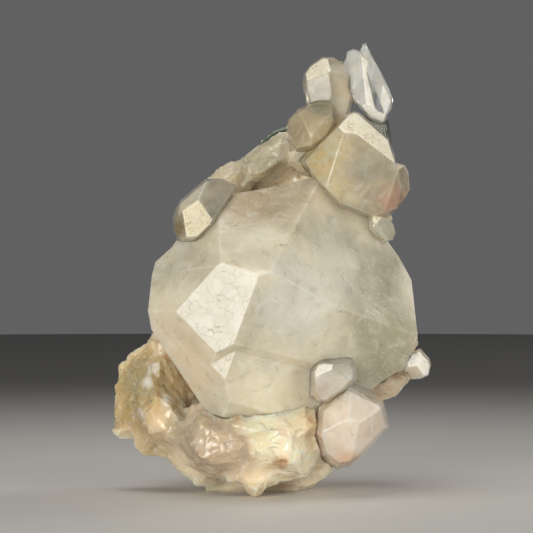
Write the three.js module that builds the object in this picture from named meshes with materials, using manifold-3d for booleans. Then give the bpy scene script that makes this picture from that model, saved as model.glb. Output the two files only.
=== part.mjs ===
// Analcime specimen: one large trapezohedral crystal with smaller ones around it, on a broken matrix.
// Millimetres, +Z up, the viewer looks along +Y. The origin is at the middle of the underside.
import * as THREE from "three";
import { ConvexGeometry } from "three/addons/geometries/ConvexGeometry.js";
import { mergeVertices } from "three/addons/utils/BufferGeometryUtils.js";
import Module from "manifold-3d";

const wasm = await Module();
wasm.setup();

// Driving dimensions
const SEAT_GAP = 0.3;
const FOOT_LEVEL = 0;
const ROCK_FACES = 22;
const BREAK_FACES = 5;
// Outlines are held in pixels of the 533 pixel photo; these turn them into millimetres.
const MM_PER_PIXEL = 0.1314;
const VIEW_MIDDLE = 266.5;
const VIEW_DISTANCE = 600;
const VIEW_FALL = 0.035;
const MIDDLE_X = -0.45;
const MIDDLE_Z = 29.48;
const CORNER_SLACK = 1e-5;
const WELD = 1e-4;

// A unit vector: azimuth 0 is towards the viewer and 90 to the right, elevation 90 is up.
function facing(azimuth, elevation) {
  const a = THREE.MathUtils.degToRad(azimuth);
  const e = THREE.MathUtils.degToRad(elevation);
  return new THREE.Vector3(Math.sin(a) * Math.cos(e), -Math.cos(a) * Math.cos(e), Math.sin(e));
}

// A face of a crystal or a rock: its outward direction and how far it lies from the centre.
function face(azimuth, elevation, reach) {
  return { normal: facing(azimuth, elevation), reach };
}

// The corners of the space that lies inside every face.
function corners(faces) {
  const found = [];
  const cross = (a, b) => new THREE.Vector3().crossVectors(a, b);
  for (let i = 0; i < faces.length; i++) {
    for (let j = i + 1; j < faces.length; j++) {
      for (let k = j + 1; k < faces.length; k++) {
        const [a, b, c] = [faces[i], faces[j], faces[k]];
        const bc = cross(b.normal, c.normal);
        const share = a.normal.dot(bc);
        if (Math.abs(share) < WELD) continue;
        const point = bc.multiplyScalar(a.reach);
        point.addScaledVector(cross(c.normal, a.normal), b.reach);
        point.addScaledVector(cross(a.normal, b.normal), c.reach).divideScalar(share);
        const inside = faces.every((f) => f.normal.dot(point) <= f.reach + CORNER_SLACK);
        if (inside && found.every((p) => p.distanceTo(point) > WELD)) found.push(point);
      }
    }
  }
  return found;
}

function solidOf(geometry) {
  const bare = new THREE.BufferGeometry().setAttribute("position", geometry.getAttribute("position"));
  const welded = mergeVertices(bare, WELD);
  return new wasm.Manifold(
    new wasm.Mesh({
      numProp: 3,
      vertProperties: welded.attributes.position.array,
      triVerts: new Uint32Array(welded.index.array),
    }),
  );
}

// The solid inside the faces around a centre, each face moved out by the margin.
function block({ centre, faces }, margin = 0) {
  const grown = faces.map((f) => ({ normal: f.normal, reach: f.reach + margin }));
  const geometry = new ConvexGeometry(corners(grown));
  return solidOf(geometry.translate(...centre));
}

function join(blocks, margin = 0) {
  return blocks.map((b) => block(b, margin)).reduce((whole, one) => whole.add(one));
}

// Even random numbers from 0 to 1, the same on each run.
function randomFrom(seed) {
  let state = seed;
  return () => {
    state = (state * 1664525 + 1013904223) % 4294967296;
    return state / 4294967296;
  };
}

// A broken lump: flat fracture faces that touch an ellipsoid or stand a little inside it.
function rock(x, y, z, halfWidth, halfDepth, halfHeight, seed) {
  const random = randomFrom(seed);
  const faces = [];
  for (let i = 0; i < ROCK_FACES; i++) {
    const rise = 1 - (2 * (i + 0.5)) / ROCK_FACES;
    const around = i * 137.5 + 50 * random();
    const normal = facing(around, THREE.MathUtils.radToDeg(Math.asin(rise)) + 14 * (random() - 0.5));
    const reach = Math.hypot(normal.x * halfWidth, normal.y * halfDepth, normal.z * halfHeight);
    faces.push({ normal, reach: reach * (0.84 + 0.16 * random()) });
  }
  return { centre: [x, y, z], faces };
}

// The point that the viewer sees at a column and row, at a depth along +Y.
function seen([column, row], depth) {
  const scale = MM_PER_PIXEL * (1 + depth / VIEW_DISTANCE);
  const z = MIDDLE_Z + (VIEW_MIDDLE - row) * scale - depth * VIEW_FALL;
  return new THREE.Vector3(MIDDLE_X + (column - VIEW_MIDDLE) * scale, depth, z);
}

// A face towards (azimuth, elevation) through the point seen at a place and depth.
function facet(azimuth, elevation, place, depth) {
  return { normal: facing(azimuth, elevation), through: seen(place, depth) };
}

// A piece whose outline, clockwise and without hollows, is the one the viewer sees. Its widest section
// lies at the depth. Each side leans in to the front and to the back, and facets close the front.
function outlined({ outline, depth, front, back, lean, backLean, seed, facets = [] }) {
  const random = randomFrom(seed);
  const corner = outline.map((place) => seen(place, depth));
  const centre = corner.reduce((sum, p) => sum.add(p), new THREE.Vector3()).divideScalar(corner.length);
  const from = (normal, point) => ({ normal, reach: normal.dot(point.clone().sub(centre)) });
  const faces = facets.map((f) => from(f.normal, f.through));
  corner.forEach((start, i) => {
    const along = corner[(i + 1) % corner.length].clone().sub(start).normalize();
    const outward = new THREE.Vector3(-along.z, 0, along.x);
    for (const [side, angle] of [[-1, lean], [1, backLean]]) {
      const tilt = THREE.MathUtils.degToRad(angle * (0.7 + 0.6 * random()));
      const normal = outward.clone().multiplyScalar(Math.cos(tilt));
      normal.y = side * Math.sin(tilt);
      faces.push(from(normal, start));
    }
  });
  const half = new THREE.Box3().setFromPoints(corner).getSize(new THREE.Vector3()).divideScalar(2);
  const ends = [
    { turned: 0, thickness: front, count: facets.length ? 0 : BREAK_FACES },
    { turned: 180, thickness: back, count: BREAK_FACES },
  ];
  for (const { turned, thickness, count } of ends) {
    for (let i = 0; i < count; i++) {
      const around = (2 * Math.PI * (i + random())) / count;
      const tip = i ? 14 + 26 * random() : 4;
      const normal = facing(turned + tip * Math.cos(around), tip * Math.sin(around));
      const reach = Math.hypot(normal.x * half.x, normal.y * thickness, normal.z * half.z);
      faces.push({ normal, reach: reach * (0.86 + 0.14 * random()) });
    }
  }
  return { centre: centre.toArray(), faces };
}

// A crystal has steep sides; a broken chunk has sides that lean in.
const crystal = (shape) => outlined({ lean: 8, backLean: 30, ...shape });
const chunk = (shape) => outlined({ lean: 38, backLean: 38, ...shape });

// The faces of the large crystal, which the viewer meets at a corner where four of them join.
function mainFaces({ bright, lowerMiddle, upperLeft, right, underside, lowerLeft }) {
  return [
    face(-2, 54, upperLeft),
    face(50, 24, right),
    face(27, -24, lowerMiddle),
    face(-26, -7, bright),
    face(-50, -28, lowerLeft),
    face(14, -55, underside),
    face(-51, 18, 18.7),
    face(-54, 37, 17.1),
    face(35, -23, 13.1),
    face(73, -11, 18.1),
    face(-150, 55, 10.3),
    face(-100, 48, 14.3),
    face(80, 38, 14.8),
    face(-100, -33, 15.2),
    face(-139, -78, 13.8),
    face(133, 20, 13),
    face(-105, 0, 14.8),
    face(-132, 42, 14),
    face(124, -60, 13.5),
    face(122, -12, 13.8),
    face(-134, -18, 13),
    face(-163, 21, 12),
    face(180, -48, 12),
    face(155, -5, 11.5),
  ];
}
const MAIN_CENTRE = [2.1, -2, 25.2];
const UPPER_GROWTH = {
  bright: 19,
  lowerMiddle: 13.3,
  upperLeft: 15.1,
  right: 11.9,
  underside: 12.7,
  lowerLeft: 18.1,
};
const LOWER_GROWTH = {
  bright: 17.6,
  lowerMiddle: 12.5,
  upperLeft: 14,
  right: 11,
  underside: 16.4,
  lowerLeft: 18.1,
};
const mainCrystal = [
  { centre: MAIN_CENTRE, faces: mainFaces(UPPER_GROWTH) },
  { centre: MAIN_CENTRE, faces: mainFaces(LOWER_GROWTH) },
];

const upperLeftCrystal = [
  crystal({
    outline: [
      [180, 200], [205, 179], [222, 178.5], [240, 186], [238, 200], [216, 222],
      [209, 234], [198, 241], [180, 240.5], [173, 233], [172, 219], [175, 209],
    ],
    depth: -9,
    back: 8,
    lean: 5,
    seed: 31,
    facets: [
      facet(10, 4, [196, 224], -14.6),
      facet(-42, -4, [182.5, 225], -14.6),
      facet(-30, 44, [196, 203.5], -14.7),
      facet(40, 22, [199, 206], -14.7),
      facet(14, -50, [195, 238.5], -14.4),
    ],
  }),
];

const topCrystals = [
  crystal({
    outline: [
      [303, 74], [310, 65], [322, 57], [333, 57], [345, 64], [350, 75], [352, 100], [350, 122],
      [335, 128], [316, 120], [305, 103], [302, 85],
    ],
    depth: 0,
    back: 3.2,
    seed: 32,
    facets: [
      facet(-30, 42, [318, 71], -2.6),
      facet(-10, -2, [324, 92], -3.4),
      facet(34, 4, [336, 90], -3.2),
      facet(50, 45, [336, 68], -2.2),
    ],
  }),
  crystal({
    outline: [
      [288, 119], [298, 108.5], [306.8, 104], [317.5, 101], [328, 100.5], [334, 106], [337, 121],
      [329, 138], [312, 150], [296, 150.5], [289, 137], [285.5, 127],
    ],
    depth: -3,
    back: 4,
    seed: 33,
    facets: [
      facet(-6, 12, [310, 125], -6.8),
      facet(-42, -6, [294, 130], -5.4),
      facet(10, 50, [315, 108], -5.6),
      facet(32, -12, [326, 132], -6.2),
    ],
  }),
  crystal({
    outline: [
      [336, 123], [344, 114.5], [353.3, 111], [359.5, 112.5], [388.7, 137.8], [394, 152], [401, 187],
      [398, 208.7], [388, 214], [372, 218], [340, 206], [318, 184], [301, 160], [312, 149],
    ],
    depth: -2.5,
    back: 7,
    lean: 4,
    seed: 34,
    facets: [
      facet(6, 0, [362, 168], -8.4),
      facet(-26, 10, [322, 158], -7.9),
      facet(34, 32, [374.5, 148.3], -8.3),
      facet(12, 44, [352, 130], -8.1),
      facet(48, -12, [394, 190], -7.6),
    ],
  }),
  crystal({
    outline: [
      [391, 165], [396, 161.5], [405, 164.6], [409, 173], [410.3, 189.5], [405.9, 198],
      [398, 208.7], [388, 218], [378, 190],
    ],
    depth: -0.5,
    back: 3,
    seed: 35,
    facets: [
      facet(42, 6, [402, 184], -2.2),
      facet(10, 48, [398, 166], -1.8),
      facet(5, -10, [392, 190], -3.4),
    ],
  }),
  crystal({
    outline: [
      [368.8, 213], [382, 213.5], [390, 218], [394.3, 225.3], [395.8, 233.5], [393.3, 240],
      [383, 242], [370, 230],
    ],
    depth: -2.5,
    back: 3,
    seed: 36,
    facets: [facet(-12, 22, [375, 220], -5.2), facet(30, -5, [387, 229], -4.6)],
  }),
];

const clearCrystal = [
  crystal({
    outline: [
      [346, 51.4], [353.2, 48.3], [361, 51.5], [382, 80], [392.5, 102], [385.4, 122.9],
      [380.9, 124.6], [368.4, 119.3], [356.8, 106], [351.4, 94.3], [344.3, 65.7],
    ],
    depth: 0,
    back: 2.2,
    seed: 37,
    facets: [
      facet(-28, 6, [360, 84], -2.2),
      facet(24, 12, [372, 90], -2.2),
      facet(-8, -30, [374, 112], -2.4),
    ],
  }),
  crystal({
    outline: [
      [362, 44.3], [367, 41.2], [374.6, 54], [387, 82.7], [393, 94.3], [392, 108.6], [385, 120],
      [372, 110], [359.5, 50.5],
    ],
    depth: 0.2,
    back: 2.2,
    seed: 38,
    facets: [facet(38, 8, [378, 80], -1.8), facet(-14, 18, [367, 62], -1.6)],
  }),
];

const lowerRightCrystal = [
  crystal({
    outline: [
      [346, 377.6], [358, 383], [380, 396], [385.4, 402.5], [389.9, 426.7], [375, 443.5],
      [361.2, 459.3], [351, 467.6], [338, 470], [322, 458], [312, 428], [315, 404],
    ],
    depth: -5,
    back: 7,
    seed: 39,
    facets: [
      facet(-16, 22, [335, 405], -12.4),
      facet(24, 20, [364, 405], -12.2),
      facet(4, -18, [346, 432], -13.2),
      facet(46, -20, [374, 426], -11.2),
    ],
  }),
];

const lowerMiddleCrystal = [
  crystal({
    outline: [
      [309.5, 369], [315.3, 360.4], [321.6, 357.9], [351, 359], [357.3, 368], [358, 379],
      [346, 392], [330, 402], [316.5, 402.5], [311, 395],
    ],
    depth: -10,
    back: 4.5,
    seed: 40,
    facets: [
      facet(4, -4, [333, 380], -15.2),
      facet(-20, 40, [320, 366], -14.4),
      facet(30, 30, [346, 366], -14.0),
    ],
  }),
];

const rightEdgeCrystal = [
  crystal({
    outline: [
      [409, 354], [420.4, 347.9], [429.6, 358.3], [431.3, 364], [429, 375.5], [421.5, 379],
      [411, 380], [403, 370],
    ],
    depth: -2,
    back: 2.4,
    seed: 41,
    facets: [
      facet(-18, 30, [416, 360], -4.4),
      facet(30, 0, [423, 368], -4.4),
      facet(-10, -30, [414, 374], -4.2),
    ],
  }),
];

const backCrystal = [
  crystal({
    outline: [
      [259, 142], [272, 131], [289, 124.5], [340, 112], [375, 117], [389, 120], [391, 135],
      [396, 175], [380, 215], [330, 235], [280, 210], [262, 170],
    ],
    depth: 9,
    back: 5,
    seed: 42,
    facets: [facet(-15, 10, [300, 150], 5.6), facet(25, 5, [370, 150], 4.6)],
  }),
];

// The broken matrix: chunks that run into each other.
const matrixLumps = [
  rock(-1.2, 2.5, 5, 9.6, 8.5, 7.5, 11),
  chunk({
    outline: [
      [126.6, 354], [133, 347], [152, 337], [172, 345], [192, 375], [206, 405], [190, 438],
      [131, 442], [114, 440.5], [108.5, 426.5], [112, 395], [116.3, 366],
    ],
    depth: 0.5,
    front: 6.5,
    back: 6,
    seed: 51,
  }),
  chunk({
    outline: [
      [130, 432], [150, 405], [190, 405], [212, 430], [195, 462], [168, 461.7], [156, 460],
      [140, 458], [134, 449],
    ],
    depth: -1.5,
    front: 6,
    back: 6,
    seed: 50,
  }),
  chunk({
    outline: [
      [150, 440], [168, 415], [200, 400], [228, 402], [240, 440], [228, 482], [212.7, 488],
      [195.4, 488], [182, 477], [168, 463],
    ],
    depth: -4,
    front: 8,
    back: 7,
    lean: 28,
    seed: 52,
  }),
  chunk({
    outline: [
      [142, 362], [158, 354], [178, 386], [202, 410], [208, 436], [192, 452], [164, 452],
      [140, 440], [126, 402],
    ],
    depth: -2,
    front: 6,
    back: 5,
    lean: 26,
    seed: 66,
  }),
  chunk({
    outline: [
      [190, 402], [216, 402], [248, 408], [262, 450], [250, 482], [216, 483], [192, 470], [174, 440],
    ],
    depth: -7,
    front: 6.5,
    back: 6,
    lean: 28,
    seed: 67,
  }),
  chunk({
    outline: [
      [250, 408], [288, 400], [316, 418], [326, 450], [312, 482], [282, 484], [256, 480], [244, 444],
    ],
    depth: -8,
    front: 6.5,
    back: 6,
    lean: 28,
    seed: 68,
  }),
  chunk({
    outline: [
      [205, 392], [235, 394], [262, 396], [300, 390], [316, 392], [326, 420], [312, 452], [262, 463],
      [222, 452], [204, 425],
    ],
    depth: -8.5,
    front: 7,
    back: 7,
    seed: 49,
  }),
  chunk({
    outline: [
      [215, 404], [240, 396], [275, 396], [290, 430], [279, 486.5], [264, 491], [250, 492],
      [238, 489], [224, 484], [208, 445],
    ],
    depth: -8,
    front: 6,
    back: 8,
    seed: 53,
  }),
  chunk({
    outline: [
      [243, 478], [268, 478], [268, 488], [257, 500], [252, 499], [242, 489],
    ],
    depth: -9,
    front: 4,
    back: 4,
    lean: 14,
    backLean: 20,
    seed: 48,
  }),
  chunk({
    outline: [
      [262, 400], [290, 393], [318, 400], [348, 430], [345, 468.5], [328, 478], [312.7, 490.5],
      [296, 488], [272, 487], [256, 450],
    ],
    depth: -5,
    front: 7.5,
    back: 8,
    seed: 54,
  }),
  chunk({
    outline: [
      [380, 360], [402, 366], [416, 376], [405, 389], [396, 398.5], [385.4, 402], [366, 402],
      [356, 380],
    ],
    depth: 0.5,
    front: 5,
    back: 7,
    seed: 55,
  }),
  chunk({
    outline: [
      [206, 178], [216.6, 167], [231.8, 158.7], [243, 155], [256, 172], [252, 196], [232, 208],
      [210, 206],
    ],
    depth: 0,
    front: 6.5,
    back: 5,
    lean: 30,
    seed: 56,
  }),
  chunk({
    outline: [
      [236, 158], [253.5, 146.3], [270, 132], [288, 128], [302, 145], [300, 176], [270, 190],
      [244, 190],
    ],
    depth: 1.5,
    front: 8,
    back: 5,
    lean: 30,
    seed: 57,
  }),
  chunk({
    outline: [
      [292, 148], [304, 142], [335, 130], [352, 150], [350, 186], [326, 186], [298, 176],
      [288, 162],
    ],
    depth: -1,
    front: 5.5,
    back: 5,
    lean: 30,
    seed: 58,
  }),
  chunk({
    outline: [
      [154, 328], [166, 335], [172, 365], [150, 362], [142.8, 347.3], [146.6, 340],
    ],
    depth: 2,
    front: 2.5,
    back: 4,
    seed: 59,
  }),
  chunk({
    outline: [
      [212, 190], [250, 165], [300, 150], [370, 170], [391, 240], [404, 258], [415.8, 275],
      [422.5, 302], [421.5, 342], [408, 378], [384, 402], [335, 440], [225, 455], [170, 430],
      [161, 350], [168, 285], [190, 235],
    ],
    depth: 5,
    front: 4.5,
    back: 6.5,
    seed: 60,
  }),
  rock(-4, 9, 29, 8, 4.5, 9, 61),
  rock(8, 9, 34, 8, 4.5, 8, 62),
  rock(9, 9.5, 17, 8.5, 4.5, 8, 63),
  rock(-7, 9.5, 15, 9, 4.5, 9, 64),
];

// Each piece gives way to the ones before it in this list, by the seat gap.
const pieces = [
  { name: "clear_crystal", blocks: clearCrystal, colour: 0xe8e6df, roughness: 0.1 },
  { name: "upper_left_crystal", blocks: upperLeftCrystal, colour: 0xe6dfcf, roughness: 0.2 },
  { name: "lower_middle_crystal", blocks: lowerMiddleCrystal, colour: 0xe9e6dc, roughness: 0.2 },
  { name: "lower_right_crystal", blocks: lowerRightCrystal, colour: 0xe8d5c6, roughness: 0.25 },
  { name: "right_edge_crystal", blocks: rightEdgeCrystal, colour: 0xe9e6dc, roughness: 0.2 },
  { name: "main_crystal", blocks: mainCrystal, colour: 0xe2ddcf, roughness: 0.2 },
  { name: "top_crystals", blocks: topCrystals, colour: 0xe5dbc2, roughness: 0.2 },
  { name: "back_crystal", blocks: backCrystal, colour: 0xb9bfb2, roughness: 0.15 },
  { name: "matrix", blocks: matrixLumps, colour: 0xd8c6a8, roughness: 0.5 },
];

function largestBody(solid) {
  return solid.decompose().sort((a, b) => b.volume() - a.volume())[0];
}

const group = new THREE.Group();
pieces.forEach(({ name, blocks, colour, roughness }, index) => {
  let solid = join(blocks);
  for (const earlier of pieces.slice(0, index)) solid = solid.subtract(join(earlier.blocks, SEAT_GAP));
  if (name === "matrix") solid = solid.trimByPlane([0, 0, 1], FOOT_LEVEL);
  const made = largestBody(solid).getMesh();
  const shared = new THREE.BufferGeometry();
  shared.setAttribute("position", new THREE.BufferAttribute(made.vertProperties, 3));
  shared.setIndex(new THREE.BufferAttribute(made.triVerts, 1));
  const geometry = shared.toNonIndexed();
  geometry.computeVertexNormals();
  const material = new THREE.MeshStandardMaterial({ color: colour, roughness, metalness: 0 });
  const mesh = new THREE.Mesh(geometry, material);
  mesh.name = name;
  group.add(mesh);
});

// The origin goes to the middle of the underside.
const box = new THREE.Box3().setFromObject(group);
const middle = box.getCenter(new THREE.Vector3());
for (const mesh of group.children) mesh.geometry.translate(-middle.x, -middle.y, -box.min.z);

export default group;
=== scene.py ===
"""The analcime specimen, dressed: see-through and milky crystals on their broken matrix."""
import math

import bmesh
import bpy
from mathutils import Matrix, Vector, noise
from mathutils.bvhtree import BVHTree


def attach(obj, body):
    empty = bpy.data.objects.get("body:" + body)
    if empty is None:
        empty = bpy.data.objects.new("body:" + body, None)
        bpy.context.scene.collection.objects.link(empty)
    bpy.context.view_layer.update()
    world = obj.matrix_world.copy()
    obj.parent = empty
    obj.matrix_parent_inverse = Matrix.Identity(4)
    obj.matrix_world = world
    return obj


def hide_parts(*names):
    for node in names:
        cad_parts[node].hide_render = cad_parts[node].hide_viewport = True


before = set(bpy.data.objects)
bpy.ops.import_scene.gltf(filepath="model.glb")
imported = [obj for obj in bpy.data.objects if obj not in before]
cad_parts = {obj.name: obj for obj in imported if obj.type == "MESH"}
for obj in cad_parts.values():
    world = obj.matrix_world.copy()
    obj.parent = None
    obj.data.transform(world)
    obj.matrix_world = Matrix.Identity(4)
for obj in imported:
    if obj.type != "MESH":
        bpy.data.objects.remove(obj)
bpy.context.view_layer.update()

MM = 0.001

# The camera stands where the photograph was taken from.
VIEW_TARGET = (-0.40 * MM, 3.48 * MM, 29.48 * MM)
VIEW_DISTANCE = 600 * MM
VIEW_ELEVATION = 2
VIEW_LENS = 308.4

# Edges shorter than this are merged before a crystal's edges are rounded.
SHORT_EDGE = 0.3 * MM
SMALLEST_BEVELLED_ANGLE = 8
SHADED_ROUND_BELOW = 28

# The matrix: the size of its even mesh, and its fractures as size and slope, in millimetres,
# with a number that makes each size's tilts differ.
MATRIX_GRAIN = 0.26 * MM
FRACTURES = ((4.5, 0.14, 5.1), (1.9, 0.2, 2.3), (0.9, 0.22, 3.7))
FRACTURE_DEPTH = 0.25
FRACTURE_TOP = 0.1
MATRIX_ROUND_BELOW = 24

# The seat gap between grown-together crystals is closed by swelling both sides.
SEAT_REACH = 0.5 * MM
SEAT_SWELL = 0.24 * MM

# A place across and up, in millimetres, on each frosted facet as the viewer sees it; the clear shard's
# facets are painted white highlights, not frost.
FROST_AND_GLINT_FACETS = {
    "main_crystal": [(-6.5, 25.1), (-6.2, 16.9)],
    "top_crystals": [(6.1, 55.0), (14.2, 45.8), (10.8, 49.0), (13.8, 35.6), (17.0, 42.5)],
    "upper_left_crystal": [(-9.8, 35.3)],
    "right_edge_crystal": [(19.2, 17.3), (20.3, 16.2)],
    "lower_middle_crystal": [(6.6, 16.6)],
    # painted highlights: these shard facets are painted white to stand for glints along its edges.
    "clear_crystal": [(12.5, 49.9), (15.8, 51.4)],
}

# Colours of the stone and of what stains it.
MILK = (0.80, 0.74, 0.58)
GREY_GREEN = (0.50, 0.47, 0.33)
PEACH = (0.95, 0.78, 0.54)
CREAM = (0.98, 0.9, 0.68)
PINK = (0.86, 0.66, 0.55)
ROSE = (0.9, 0.5, 0.4)
RUST = (0.47, 0.22, 0.05)
WHITE = (0.95, 0.94, 0.90)
SMOKE = (0.27, 0.25, 0.19)
GLASS = (0.98, 0.98, 0.97)
INDEX_OF_REFRACTION = 1.487

# The floor is pale out to the first distance and dark beyond the second, in millimetres.
FLOOR_PALE_WITHIN = 40
FLOOR_DARK_BEYOND = 260
FLOOR_RADIUS = 420 * MM

# Every light has this colour and is aimed at this point.
LIGHT_COLOUR = (1.0, 0.97, 0.9)
LIGHTS_AIM = (0, 0, 30 * MM)


# Shader maths


class Wire:
    """A value that runs through a material; arithmetic on it adds Math nodes."""

    def __init__(self, recipe, socket):
        self.recipe = recipe
        self.socket = socket

    def maths(self, operation, *values):
        return self.recipe.node("ShaderNodeMath", {"operation": operation}, dict(enumerate(values)))

    def __add__(self, other):
        return self.maths("ADD", self, other)

    def __radd__(self, other):
        return self.maths("ADD", other, self)

    def __sub__(self, other):
        return self.maths("SUBTRACT", self, other)

    def __rsub__(self, other):
        return self.maths("SUBTRACT", other, self)

    def __mul__(self, other):
        return self.maths("MULTIPLY", self, other)

    def __rmul__(self, other):
        return self.maths("MULTIPLY", other, self)

    def __abs__(self):
        return self.maths("ABSOLUTE", self)

    def highest(self, other):
        return self.maths("MAXIMUM", self, other)

    def between(self, low, high, start=0.0, end=1.0):
        """Goes smoothly from start to end as this value goes from low to high."""
        return self.recipe.node("ShaderNodeMapRange", {"interpolation_type": "SMOOTHSTEP"}, {
            "Value": self, "From Min": low, "From Max": high, "To Min": start, "To Max": end,
        })


class Recipe:
    """One material, built up node by node in millimetres."""

    def __init__(self, name):
        self.material = bpy.data.materials.new(name)
        self.material.use_nodes = True
        self.tree = self.material.node_tree
        self.tree.nodes.clear()
        self.place = self.vector("SCALE", self.node("ShaderNodeTexCoord", output="Object"), Scale=1000.0)

    def node(self, kind, settings=None, inputs=None, output=0):
        """Adds any node; its inputs are wires, numbers, vectors or colours."""
        made = self.tree.nodes.new(kind)
        for key, value in (settings or {}).items():
            setattr(made, key, value)
        for key, value in (inputs or {}).items():
            socket = made.inputs[key]
            if isinstance(value, Wire):
                self.tree.links.new(value.socket, socket)
            elif socket.type == "RGBA":
                socket.default_value = (*value, 1.0)
            else:
                socket.default_value = value
        return Wire(self, made.outputs[output])

    def vector(self, operation, *values, output=0, **named):
        inputs = {**dict(enumerate(values)), **named}
        return self.node("ShaderNodeVectorMath", {"operation": operation}, inputs, output)

    def noise(self, scale, detail=2.0, roughness=0.5, distortion=0.0, shift=0.0, at=None):
        """Cloudy values around a half; scale counts clouds per millimetre."""
        where = self.vector("ADD", at or self.place, (shift, shift * 0.7, -shift))
        return self.node("ShaderNodeTexNoise", {}, {
            "Vector": where, "Scale": scale, "Detail": detail,
            "Roughness": roughness, "Distortion": distortion,
        }, "Fac")

    def brushed(self, tilt, scale, shift):
        """Short fine strokes that rise to the right by the tilt in degrees."""
        along = self.node("ShaderNodeMapping", {}, {
            "Vector": self.place, "Rotation": (0.0, math.radians(tilt), 0.0), "Scale": (0.16, 1.0, 1.0),
        })
        return self.noise(scale, 2.0, 0.6, shift=shift, at=along)

    def hairlines(self, scale, width, share, shift):
        """Short curved lines: where a cloudy field crosses its middle, kept in a share of the stone."""
        line = abs(self.noise(scale, 1.0, shift=shift) - 0.5).between(0.0, width, 1.0, 0.0)
        patches = self.noise(scale * 0.8, 0.0, shift=shift + 31)
        return line * patches.between(0.66 - share * 0.4, 0.72 - share * 0.4)

    def crackle(self, scale, width, shift):
        """A net of fine cracks that wander and fade."""
        drift = self.noise(0.6, 1.0, shift=shift)
        where = self.vector("ADD", self.place, self.vector("SCALE", (1.0, 0.0, 0.7), Scale=drift * 1.6))
        edge = self.node("ShaderNodeTexVoronoi", {"feature": "DISTANCE_TO_EDGE"}, {
            "Vector": where, "Scale": scale,
        })
        patches = self.noise(0.5, 1.0, shift=shift + 17)
        return edge.between(0.0, width, 1.0, 0.0) * patches.between(0.42, 0.58)

    def near(self, place, radius, ragged):
        """1 at a place in millimetres, 0 beyond the radius; it reaches furthest front to back."""
        flat = self.vector("MULTIPLY", self.vector("SUBTRACT", self.place, place), (1.0, 0.45, 1.0))
        away = self.vector("LENGTH", flat, output="Value")
        return (away + (ragged - 0.5) * (radius * 1.1)).between(radius * 0.25, radius, 1.0, 0.0)

    def blend(self, amount, first, second):
        """A colour between two colours."""
        return self.node("ShaderNodeMix", {"data_type": "RGBA"}, {0: amount, 6: first, 7: second}, 2)

    def with_stains_and_painted_light(self, tone, stains_and_painted_light, ragged):
        # Blends in each patch around its place: most are stains, a few are painted light.
        for place, radius, amount, patch_colour in stains_and_painted_light:
            tone = self.blend(self.near(place, radius, ragged) * amount, tone, patch_colour)
        return tone

    def finish(self, surface, volume=None):
        out = self.tree.nodes.new("ShaderNodeOutputMaterial")
        self.tree.links.new(surface.socket, out.inputs["Surface"])
        if volume:
            self.tree.links.new(volume.socket, out.inputs["Volume"])
        return self.material


def shade(colour, share):
    return tuple(part * share for part in colour)


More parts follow.
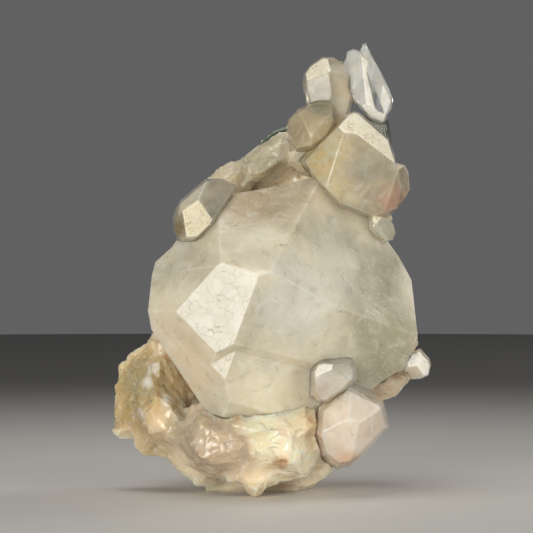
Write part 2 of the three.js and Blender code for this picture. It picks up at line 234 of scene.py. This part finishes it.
def crystal_finish(name, haze, colour, stains_and_painted_light=(), depth=(0.93, 0.9, 0.8), density=40.0, seed=0.0,
                   gloss=0.05, glow=2.5, speckled=0.0, marked=1.0, frost_and_glint_colour=(0.93, 0.9, 0.82), veins=()):
    """Analcime: clear glassy crystal clouded by milky haze, frosted white on some facets; on the clear
    shard those white facets are painted highlights.
    """
    r = Recipe(name)
    clouds = r.noise(0.11, 2.0, 0.5, 0.4, shift=seed)
    wisps = r.noise(0.5, 3.0, 0.6, 0.5, shift=seed + 9)
    grain = r.noise(3.0, 2.0, 0.6, shift=seed + 4)
    strokes = r.brushed(35, 1.5, seed + 2)
    frost_and_glint = r.node("ShaderNodeAttribute", {"attribute_name": "frost_and_glint"}, output="Fac")
    worn = r.node("ShaderNodeAttribute", {"attribute_name": "worn"}, output="Fac")
    cracks = (r.crackle(0.6, 0.03, seed + 6) + r.crackle(1.3, 0.045, seed + 1) * 0.7) * frost_and_glint

    tone = r.blend(clouds.between(0.38, 0.62), shade(colour, 0.93), colour)
    tone = r.with_stains_and_painted_light(tone, stains_and_painted_light, clouds)
    for place, radius in veins:
        tone = r.blend(r.crackle(0.4, 0.16, seed + 8) * r.near(place, radius, wisps) * 0.8, tone, CREAM)
    tone = r.blend(wisps.between(0.48, 0.72) * 0.25, tone, WHITE)
    tone = r.blend(wisps.between(0.46, 0.3) * 0.12, tone, GREY_GREEN)
    tone = r.blend(strokes.between(0.6, 0.72) * 0.2, tone, WHITE)
    tone = r.blend(grain.between(0.62, 0.68) * 0.5, tone, WHITE)
    tone = r.blend(r.hairlines(0.22, 0.01, 0.2, seed + 12) * 0.5 * marked, tone, WHITE)
    # Frosted facets turn white here; on the clear shard this white is a painted highlight.
    tone = r.blend(frost_and_glint * 0.85, tone, frost_and_glint_colour)
    tone = r.blend(worn * wisps.between(0.42, 0.58, 0.0, 0.12), tone, WHITE)
    if speckled:
        spots = grain.between(0.54, 0.62) * frost_and_glint * r.noise(0.5, 1.0, shift=seed + 3).between(0.4, 0.6)
        tone = r.blend(spots * speckled, tone, (0.5, 0.36, 0.16))
    tone = r.blend(frost_and_glint * wisps.between(0.58, 0.4) * 0.35, tone, (0.74, 0.71, 0.6))
    tone = r.blend(cracks * 0.75, tone, (0.52, 0.48, 0.37))
    tone = r.blend(r.hairlines(0.5, 0.016, -0.04, seed + 21) * 0.6 * marked, tone, SMOKE)

    veil = haze + (clouds - 0.5) * 0.5 + (wisps - 0.5) * 0.2
    veil = veil.highest(frost_and_glint * 0.97).highest(worn * haze).between(0.0, 1.0)
    height = wisps * 0.5 + strokes * 0.25 + frost_and_glint * (grain - cracks)
    relief = r.node("ShaderNodeBump", {}, {"Strength": 0.25, "Distance": 0.0001, "Height": height})
    milky = r.node("ShaderNodeBsdfPrincipled", {"subsurface_method": "RANDOM_WALK"}, {
        "Base Color": tone, "Roughness": 0.2 + wisps * 0.2 + frost_and_glint * 0.35,
        "IOR": INDEX_OF_REFRACTION, "Normal": relief,
        "Subsurface Weight": 0.9, "Subsurface Radius": (1.0, 0.88, 0.7), "Subsurface Scale": glow * MM,
        "Coat Weight": 0.25, "Coat Roughness": 0.08,
    }, "BSDF")
    clear = r.node("ShaderNodeBsdfPrincipled", {}, {
        "Base Color": GLASS, "Roughness": gloss, "IOR": INDEX_OF_REFRACTION,
        "Transmission Weight": 1.0, "Normal": relief,
    }, "BSDF")
    surface = r.node("ShaderNodeMixShader", {}, {0: veil, 1: clear, 2: milky})
    volume = r.node("ShaderNodeVolumeAbsorption", {}, {"Color": depth, "Density": density})
    return r.finish(surface, volume)


def matrix_finish():
    """Broken matrix: hazy analcime in cream, peach and grey-green, with rust spots and white flakes."""
    r = Recipe("broken_matrix")
    broad = r.noise(0.12, 2.0, 0.5, 0.6, shift=2)
    fine = r.noise(0.7, 4.0, 0.62, 0.5, shift=3)
    grain = r.noise(2.6, 2.0, 0.6, shift=7)
    strokes = r.brushed(-42, 1.0, 11)
    tone = r.blend(broad.between(0.38, 0.62), (0.86, 0.69, 0.48), (0.96, 0.81, 0.6))
    tone = r.with_stains_and_painted_light(tone, (
        ((-17, 3, 13), 9, 0.95, (0.6, 0.41, 0.16)),
        ((-16, 3, 14), 5, 0.7, (0.42, 0.4, 0.25)),
        ((-16, 0, 6.5), 5, 0.8, (0.58, 0.43, 0.23)),
        ((-10, -2, 9), 5, 0.7, (0.62, 0.56, 0.42)),
        # partly a real yellow band and partly painted light: it is made brighter to make up for the
        # shade under the large crystal's overhang.
        ((0, -8, 10.5), 8, 0.95, CREAM),
        ((4, -8, 7), 8, 0.85, (1.0, 0.86, 0.64)),
        ((-6.5, -8, 6), 6, 0.85, (0.6, 0.47, 0.33)),
        ((1.5, -8, 8.5), 2.2, 0.6, (0.9, 0.6, 0.5)),
        ((5, -9, 10), 3.5, 0.6, (0.93, 0.68, 0.42)),
        ((6, -5, 9), 4.5, 0.6, (0.95, 0.74, 0.48)),
        ((14, 2, 14), 7, 0.7, (0.78, 0.64, 0.47)),
        ((-4, 0, 42), 9, 0.9, (0.66, 0.59, 0.42)),
        ((2, 0, 46), 5, 0.7, (0.56, 0.54, 0.4)),
        ((8, -2, 42), 5, 0.7, (0.95, 0.76, 0.42)),
    ), broad)
    tone = r.blend(fine.between(0.5, 0.7) * 0.2, tone, WHITE)
    tone = r.blend(fine.between(0.44, 0.3) * 0.12, tone, (0.55, 0.46, 0.32))
    tone = r.blend(strokes.between(0.62, 0.72) * 0.25, tone, WHITE)
    tone = r.blend(grain.between(0.63, 0.69) * 0.6, tone, WHITE)
    tone = r.with_stains_and_painted_light(tone, (
        ((-15.1, -1.5, 16.5), 1.5, 0.9, WHITE),
        ((-16.2, -2, 14.6), 1.3, 0.9, WHITE),
        ((-19.5, -1, 11.7), 1.5, 0.9, WHITE),
        ((-17.3, -3, 10.4), 1.6, 0.8, WHITE),
        ((-13.5, -2, 12.2), 1.2, 0.8, WHITE),
        ((-4.1, -10.5, 11), 1.5, 0.95, RUST),
        ((1.4, -9, 4.7), 1.4, 0.7, RUST),
        ((-18, -1.5, 12.5), 1.0, 0.9, RUST),
        ((-2.6, -1, 40.5), 1.2, 0.95, RUST),
    ), fine)
    rust = r.noise(0.35, 2.0, 0.5, 0.6, shift=8).between(0.69, 0.75)
    tone = r.blend(rust * 0.5, tone, RUST)
    tone = r.blend(r.hairlines(0.16, 0.008, 0.4, 19) * 0.7, tone, WHITE)
    tone = r.blend(r.hairlines(0.4, 0.014, 0.0, 23) * 0.6, tone, SMOKE)
    relief = r.node("ShaderNodeBump", {}, {
        "Strength": 0.35, "Distance": 0.0002, "Height": fine * 0.8 + strokes * 0.3 + grain * 0.1,
    })
    milky = r.node("ShaderNodeBsdfPrincipled", {"subsurface_method": "RANDOM_WALK"}, {
        "Base Color": tone, "Roughness": 0.1 + fine * 0.25, "IOR": INDEX_OF_REFRACTION, "Normal": relief,
        "Subsurface Weight": 0.9, "Subsurface Radius": (1.0, 0.8, 0.6), "Subsurface Scale": 1.6 * MM,
        "Coat Weight": 0.35, "Coat Roughness": 0.1,
    }, "BSDF")
    clear = r.node("ShaderNodeBsdfPrincipled", {}, {
        "Base Color": GLASS, "Roughness": 0.12, "IOR": INDEX_OF_REFRACTION,
        "Transmission Weight": 1.0, "Normal": relief,
    }, "BSDF")
    veil = broad.between(0.3, 0.6, 0.75, 1.0)
    surface = r.node("ShaderNodeMixShader", {}, {0: veil, 1: clear, 2: milky})
    volume = r.node("ShaderNodeVolumeAbsorption", {}, {"Color": (0.93, 0.82, 0.62), "Density": 90.0})
    return r.finish(surface, volume)


# Meshes


def merged_copy(node):
    """The CAD solid's mesh with its loose triangles merged."""
    body = bmesh.new()
    body.from_mesh(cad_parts[node].data)
    bmesh.ops.remove_doubles(body, verts=body.verts, dist=1e-6)
    return body


def close_seat(body, node):
    """What lies close to a neighbour grows out to it, as crystals grown together do."""
    trees = []
    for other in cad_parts:
        if other != node:
            neighbour = merged_copy(other)
            trees.append(BVHTree.FromBMesh(neighbour))
            neighbour.free()
    body.normal_update()
    touching = [
        v for v in body.verts
        if any(t.find_nearest(v.co, SEAT_REACH)[0] is not None for t in trees)
    ]
    moves = [v.normal * SEAT_SWELL for v in touching]
    for vert, move in zip(touching, moves):
        vert.co += move


def round_below(body, angle):
    for face in body.faces:
        face.smooth = True
    for edge in body.edges:
        edge.smooth = not edge.is_manifold or edge.calc_face_angle() < math.radians(angle)


def make_piece(name, body, node, material):
    mesh = bpy.data.meshes.new(name)
    body.to_mesh(mesh)
    body.free()
    piece = bpy.data.objects.new(name, mesh)
    bpy.context.scene.collection.objects.link(piece)
    mesh.materials.append(material)
    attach(piece, "root")
    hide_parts(node)
    return piece


def join_facets(body):
    """Makes each flat facet one face again and merges edges too short to be rounded."""
    flat = math.radians(1)
    bmesh.ops.dissolve_limit(body, angle_limit=flat, verts=body.verts, edges=body.edges)
    bmesh.ops.remove_doubles(body, verts=body.verts, dist=SHORT_EDGE)
    bmesh.ops.dissolve_degenerate(body, edges=body.edges, dist=SHORT_EDGE / 2)
    bmesh.ops.dissolve_limit(body, angle_limit=flat, verts=body.verts, edges=body.edges)


def mark_frost_and_glints(body, places):
    """Marks the facets that a viewer in front sees at these places."""
    frost_and_glint = body.faces.layers.float.new("frost_and_glint")
    body.faces.ensure_lookup_table()
    tree = BVHTree.FromBMesh(body)
    for across, up in places:
        hit = tree.ray_cast(Vector((across * MM, -0.1, up * MM)), Vector((0, 1, 0)))
        if hit[2] is not None:
            body.faces[hit[2]][frost_and_glint] = 1.0


def grow_crystal(name, node, material, edge, wave, rise, cuts):
    """A crystal with worn edges and gently uneven faces, marked where it is frosted and, on the clear
    shard, where white highlights are painted.
    """
    body = merged_copy(node)
    join_facets(body)
    mark_frost_and_glints(body, FROST_AND_GLINT_FACETS.get(node, []))
    sharp = [e for e in body.edges if e.calc_face_angle() > math.radians(SMALLEST_BEVELLED_ANGLE)]
    worn = body.faces.layers.float.new("worn")
    rounded = bmesh.ops.bevel(
        body, geom=sharp, offset=edge, offset_type="OFFSET", segments=2, profile=0.5,
        affect="EDGES", clamp_overlap=False, material=-1,
    )
    for face in rounded["faces"]:
        face[worn] = 1.0
    bmesh.ops.triangulate(body, faces=body.faces)
    bmesh.ops.subdivide_edges(body, edges=body.edges, cuts=cuts, use_grid_fill=True)
    bmesh.ops.triangulate(body, faces=body.faces)
    round_below(body, SHADED_ROUND_BELOW)
    close_seat(body, node)
    body.normal_update()
    for vert in body.verts:
        place = vert.co / wave
        vert.co += vert.normal * rise * (noise.noise(place) + 0.4 * noise.noise(place * 3) - 0.7)
    crystal = make_piece(name, body, node, material)
    crisp = crystal.modifiers.new("flat_facets", "WEIGHTED_NORMAL")
    crisp.keep_sharp = True


def break_matrix(name, node, material):
    """The matrix: its broken surface in tilted flat breaks with ledges between them."""
    draft_mesh = bpy.data.meshes.new("matrix_draft")
    body = merged_copy(node)
    body.to_mesh(draft_mesh)
    draft = bpy.data.objects.new("matrix_draft", draft_mesh)
    bpy.context.scene.collection.objects.link(draft)
    remesh = draft.modifiers.new("even", "REMESH")
    remesh.mode = "VOXEL"
    remesh.voxel_size = MATRIX_GRAIN
    body.clear()
    body.from_mesh(draft.evaluated_get(bpy.context.evaluated_depsgraph_get()).to_mesh())
    bpy.data.objects.remove(draft)
    close_seat(body, node)
    for vert in body.verts:
        place = vert.co / MM
        fall = 0.08 * noise.noise(place * 0.7)
        for size, slope, salt in FRACTURES:
            middle = noise.voronoi(place / size)[1][0] * size
            tilt = noise.cell_vector(middle * salt) - Vector((0.5, 0.5, 0.5))
            fall += (place - middle).dot(tilt) * slope
        keep = min(1.0, max(0.0, (vert.co.z / MM - 0.2) / 1.2))
        vert.co += vert.normal * (min(FRACTURE_TOP, fall - FRACTURE_DEPTH) * keep * MM)
    for vert in body.verts:
        vert.co.z = max(vert.co.z, 0.0)
    round_below(body, MATRIX_ROUND_BELOW)
    make_piece(name, body, node, material)


# The looks of the crystals: each stain has its place in millimetres, radius, strength and colour; the
# patches marked as painted light below are listed the same way.

large_look = crystal_finish("large_crystal_analcime", 0.78, MILK, (
    ((0, -6, 40.5), 9, 0.95, (0.52, 0.43, 0.28)),
    ((-4, -6, 39), 5, 0.6, (0.62, 0.48, 0.32)),
    # painted light: a pale patch on the upper right face that lightens the shadow the crest crystals
    # cast there.
    ((9.5, -6, 38), 5, 0.9, (1.0, 0.9, 0.7)),
    ((15, -4, 29), 6, 0.7, (0.55, 0.49, 0.35)),
    ((-13, -8, 22), 6, 0.6, (0.84, 0.7, 0.48)),
    ((0, -12, 17.2), 2.8, 0.6, (0.58, 0.57, 0.5)),
    ((4, -14, 26), 8, 0.7, (0.88, 0.86, 0.78)),
    ((10, -8, 33), 7, 0.45, (0.68, 0.67, 0.56)),
    ((17, -5, 20), 10, 0.95, GREY_GREEN),
    ((-14, -7, 29), 4, 0.5, GREY_GREEN),
    ((-11, -9, 17), 7, 0.8, PEACH),
    # partly a real cream band and partly painted light: the underside band is made brighter to stand for
    # light from below.
    ((0, -10, 13), 7, 0.7, CREAM),
    ((6, -12, 15), 4, 0.4, GREY_GREEN),
), glow=2.6)
crest_look = crystal_finish("crest_analcime", 0.48, (0.8, 0.73, 0.57), (
    ((7, -3, 44.5), 6, 0.9, (0.95, 0.79, 0.47)),
    ((7, -3, 43), 2.2, 0.8, (0.95, 0.64, 0.24)),
    ((12, -5, 41), 5, 0.6, (0.74, 0.7, 0.57)),
    ((9, -3, 40), 3, 0.8, (0.95, 0.8, 0.48)),
    ((16.5, -3, 38), 3.2, 0.9, ROSE),
    ((4.5, -2, 48), 3.5, 0.7, (0.56, 0.45, 0.25)),
    ((7, 0, 51.5), 4, 0.95, (0.29, 0.26, 0.16)),
    ((10, 0, 52.5), 2.2, 0.8, (0.86, 0.68, 0.42)),
    ((14.8, -1, 34.4), 3, 0.95, (1.0, 0.92, 0.72)),
), depth=(0.94, 0.86, 0.66), density=90.0, seed=21.0, gloss=0.05, speckled=0.6,
                            frost_and_glint_colour=(0.87, 0.82, 0.67), veins=(((7, -4, 44), 7), ((13, -4, 38), 5)))
side_look = crystal_finish("side_analcime", 0.5, (0.8, 0.73, 0.58), (
    ((-12, -10, 34.8), 3, 0.95, (0.2, 0.15, 0.06)),
    ((-9.5, -10, 38.5), 3, 0.8, (1.0, 0.92, 0.76)),
    ((-6.5, -9, 37), 2.4, 0.7, (0.55, 0.56, 0.5)),
), depth=(0.9, 0.84, 0.66), density=100.0, seed=33.0, speckled=0.9,
                           frost_and_glint_colour=(0.8, 0.73, 0.54))
shard_look = crystal_finish("clear_analcime", 0.58, (0.95, 0.94, 0.87),
                            density=15.0, seed=40.0, gloss=0.02, marked=0.4)
pink_look = crystal_finish("pink_analcime", 0.68, (0.97, 0.82, 0.7), (
    ((10, -7, 4.5), 2.5, 0.7, (0.85, 0.5, 0.3)),
    ((7, -6, 12), 4, 0.6, PEACH),
), depth=(0.95, 0.84, 0.74), density=70.0, seed=51.0, marked=0.6)
blunt_look = crystal_finish("blunt_analcime", 0.55, (0.82, 0.77, 0.67), (
    ((6.5, -11, 13), 3, 0.6, PINK),
), density=60.0, seed=60.0, gloss=0.1)
edge_look = crystal_finish("edge_analcime", 0.7, (0.68, 0.6, 0.48), density=50.0, seed=64.0)
rear_look = crystal_finish("rear_analcime", 0.16, (0.4, 0.42, 0.33),
                           depth=(0.6, 0.68, 0.55), density=150.0, seed=70.0, gloss=0.08)

# Each crystal: its name, CAD node, slot and look, then the width of its worn edges, the length and
# height of the waves in its faces, all in millimetres, and how finely its faces are cut up.
CRYSTALS = (
    ("large_crystal", "main_crystal", "milky_crystal", large_look, 0.14, 6, 0.05, 3),
    ("crest_crystals", "top_crystals", "honey_crystal", crest_look, 0.11, 3, 0.04, 2),
    ("side_crystal", "upper_left_crystal", "honey_crystal", side_look, 0.11, 3, 0.04, 3),
    ("clear_shard", "clear_crystal", "clear_crystal", shard_look, 0.1, 1.6, 0.1, 3),
    ("blunt_crystal", "lower_middle_crystal", "milky_crystal", blunt_look, 0.14, 3, 0.08, 3),
    ("pink_crystal", "lower_right_crystal", "pink_crystal", pink_look, 0.14, 2.4, 0.14, 3),
    ("edge_crystal", "right_edge_crystal", "milky_crystal", edge_look, 0.09, 3, 0.04, 3),
    ("rear_crystal", "back_crystal", "dark_crystal", rear_look, 0.18, 4, 0.05, 3),
)
for name, node, slot, look, edge, wave, rise, cuts in CRYSTALS:
    grow_crystal(name, node, look, edge * MM, wave * MM, rise * MM, cuts)
break_matrix("matrix_stone", "matrix", matrix_finish())

# Floor, light and camera


def floor_finish():
    """Pale paper, painted darker away from the stone: a painted shade that fades it into the dark world.
    """
    r = Recipe("pale_floor")
    pale = (0.72, 0.71, 0.69)
    tone = r.blend(r.noise(0.02).between(0.3, 0.7), shade(pale, 0.97), pale)
    away = r.vector("LENGTH", r.place, output="Value")
    # painted shade: the floor's colour darkens with distance from the stone.
    tone = r.blend(away.between(FLOOR_PALE_WITHIN, FLOOR_DARK_BEYOND), tone, shade(pale, 0.13))
    paper = r.node("ShaderNodeBsdfPrincipled", {}, {"Base Color": tone, "Roughness": 0.6}, "BSDF")
    return r.finish(paper)


def make_floor():
    body = bmesh.new()
    bmesh.ops.create_circle(body, cap_ends=True, segments=96, radius=FLOOR_RADIUS)
    mesh = bpy.data.meshes.new("floor")
    body.to_mesh(mesh)
    body.free()
    floor = bpy.data.objects.new("floor", mesh)
    bpy.context.scene.collection.objects.link(floor)
    mesh.materials.append(floor_finish())


def add_light(name, place, size, power):
    lamp = bpy.data.lights.new(name, "AREA")
    lamp.size = size
    lamp.energy = power
    lamp.color = LIGHT_COLOUR
    holder = bpy.data.objects.new(name, lamp)
    holder.location = place
    aim = Vector(LIGHTS_AIM) - Vector(place)
    holder.rotation_euler = aim.to_track_quat("-Z", "Y").to_euler()
    bpy.context.scene.collection.objects.link(holder)


def add_camera():
    lens = bpy.data.cameras.new("camera")
    lens.sensor_width = 36
    lens.lens = VIEW_LENS
    lens.clip_start = 0.01
    lens.clip_end = 10
    camera = bpy.data.objects.new("camera", lens)
    tilt = math.radians(VIEW_ELEVATION)
    camera.location = Vector(VIEW_TARGET) + VIEW_DISTANCE * Vector((0, -math.cos(tilt), math.sin(tilt)))
    camera.rotation_euler = (math.radians(90) - tilt, 0, 0)
    bpy.context.scene.collection.objects.link(camera)
    bpy.context.scene.camera = camera


make_floor()
add_light("key", (-0.21, -0.48, 0.06), 0.28, 2.5)
add_light("fill", (0.4, -0.36, 0.06), 0.3, 1.2)
add_light("rim", (0.32, 0.26, 0.2), 0.2, 0.5)
add_light("top", (-0.05, -0.05, 0.5), 0.25, 0.6)
world = bpy.data.worlds.new("studio")
world.use_nodes = True
world.node_tree.nodes["Background"].inputs["Color"].default_value = (0.12, 0.12, 0.123, 1.0)
bpy.context.scene.world = world
bpy.context.scene.view_settings.view_transform = "Standard"
add_camera()
